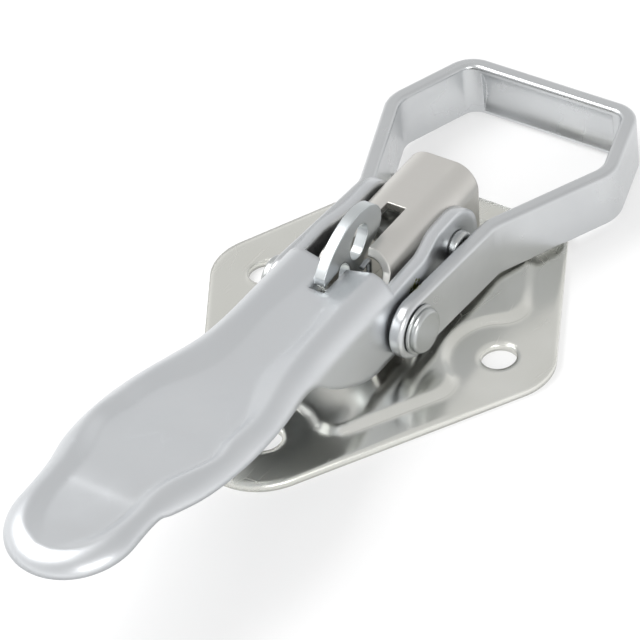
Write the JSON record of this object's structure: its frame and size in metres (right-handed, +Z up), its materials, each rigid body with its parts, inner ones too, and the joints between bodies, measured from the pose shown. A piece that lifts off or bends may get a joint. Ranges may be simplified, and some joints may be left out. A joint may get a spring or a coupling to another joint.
{
  "type": "over_centre_toggle_latch",
  "caption": "Over-centre toggle latch of bright zinc-plated pressed steel, with a broad waisted handle, a bail loop, a spring-loaded safety hook and a flat base plate with bolt holes",
  "frame": {"origin": "midway between the two rear bolt holes, on the underside of the base plate", "axes": "+X from the handle to the bail, +Y to the left seen from the handle, +Z up from the mounting face"},
  "size_m": [0.2213, 0.0984, 0.0388],
  "materials": {
    "zinc_plate": "satin",
    "zinc_pin": "satin",
    "spring_steel": "satin"
  },
  "bodies": {
    "base": {"base_plate": "zinc_plate", "bearing_bracket": "zinc_plate", "main_pivot_pin": "zinc_pin", "pivot_sleeve": "zinc_pin", "hook_pin": "zinc_pin", "hook_spring": "spring_steel"},
    "lever": {"lever": "zinc_plate"},
    "bail_rivets": {"bail_rivet_left": "zinc_pin", "bail_rivet_right": "zinc_pin", "bail_washer_left": "zinc_pin", "bail_washer_right": "zinc_pin"},
    "bail": {"bail": "zinc_plate"},
    "hook": {"safety_hook": "zinc_plate"}
  },
  "joints": [
    {"name": "lever_hinge", "type": "hinge", "parent": "base", "child": "lever", "pos_m": [0.0162, 0, 0.0173], "axis": [0, 1, 0], "range_deg": [0, 130]},
    {"name": "rivet_turn", "type": "hinge", "parent": "lever", "child": "bail_rivets", "pos_m": [-0.0116, 0, 0.0144], "axis": [0, 1, 0], "range_deg": [-130, 0]},
    {"name": "bail_hinge", "type": "hinge", "parent": "bail_rivets", "child": "bail", "pos_m": [-0.0116, 0, 0.0144], "axis": [0, 1, 0], "range_deg": [-140, 0]},
    {"name": "hook_hinge", "type": "hinge", "parent": "base", "child": "hook", "pos_m": [-0.01, 0, 0.013], "axis": [0, 1, 0], "range_deg": [0, 16], "stiffness_Nm_per_rad": 0.4, "springref_deg": -20.05}
  ],
  "couplings": [
    {"joint": "rivet_turn", "follows": "lever_hinge", "ratio": -1}
  ]
}
